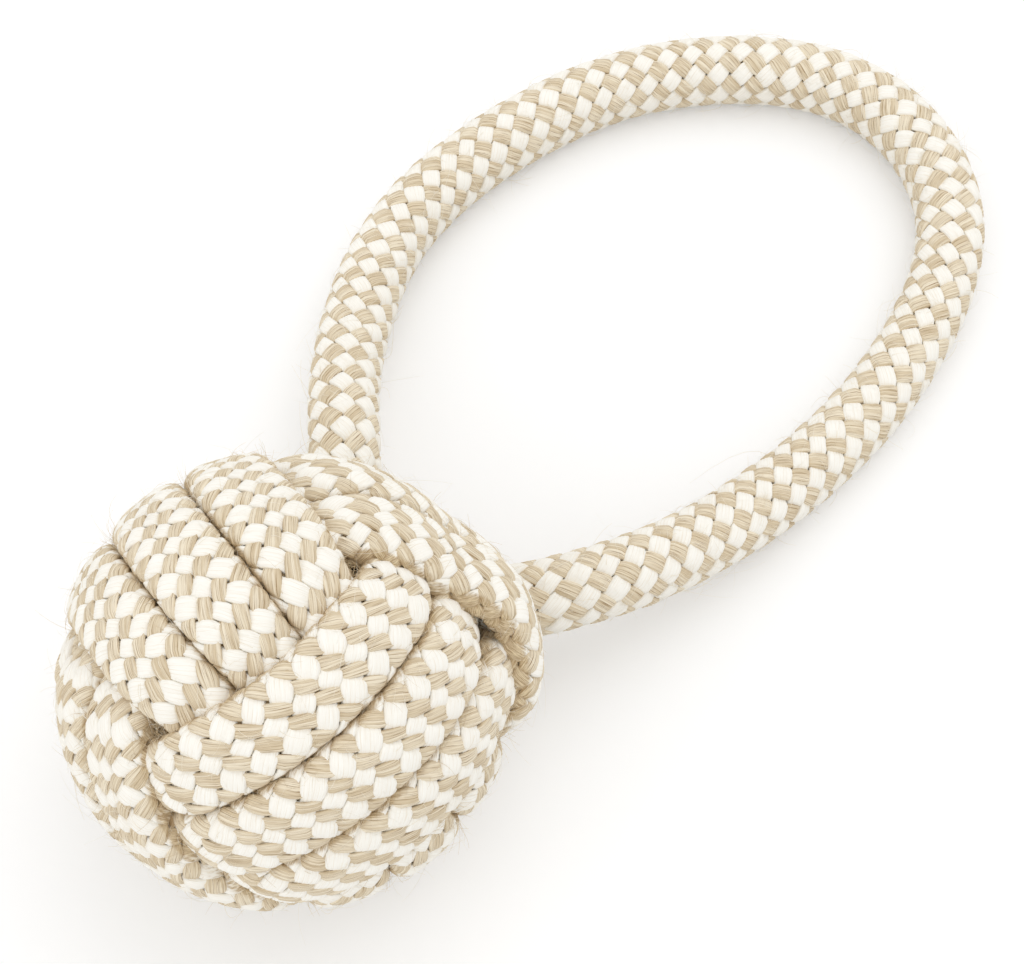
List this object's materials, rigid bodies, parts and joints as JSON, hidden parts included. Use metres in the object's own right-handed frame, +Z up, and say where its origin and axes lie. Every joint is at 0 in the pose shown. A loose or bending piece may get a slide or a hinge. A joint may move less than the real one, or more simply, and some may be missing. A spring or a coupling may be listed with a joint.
{
  "type": "rope dog toy",
  "caption": "Braided rope dog toy: one rope wound into a tight ball of interlocked turns, with the rest of it led out as a stiff handle loop for tugging and throwing.",
  "frame": {"origin": "on the floor, below the middle of the whole toy", "axes": "+Z up, +X from the ball towards the far end of the handle loop, +Y to the left of that"},
  "size_m": [0.1982, 0.095, 0.0688],
  "materials": {
    "braided_rope": "diamond braid of cream cotton strands one way and tan hemp strands the other way, matt, with stray fibres",
    "rope_core": "the same rope rolled up tight, matt and in shade"
  },
  "bodies": {
    "ball": {"first_turns": "braided_rope", "second_turns": "braided_rope", "third_turns": "braided_rope", "rolled_tail": "rope_core", "left_leg": "braided_rope", "right_leg": "braided_rope"},
    "handle": {"handle_loop": "braided_rope"}
  },
  "joints": [
    {"name": "handle_swing", "type": "hinge", "parent": "ball", "child": "handle", "pos_m": [-0.02237, -0.00482, 0.0158], "axis": [0, -1, 0], "range_deg": [0, 75]}
  ]
}
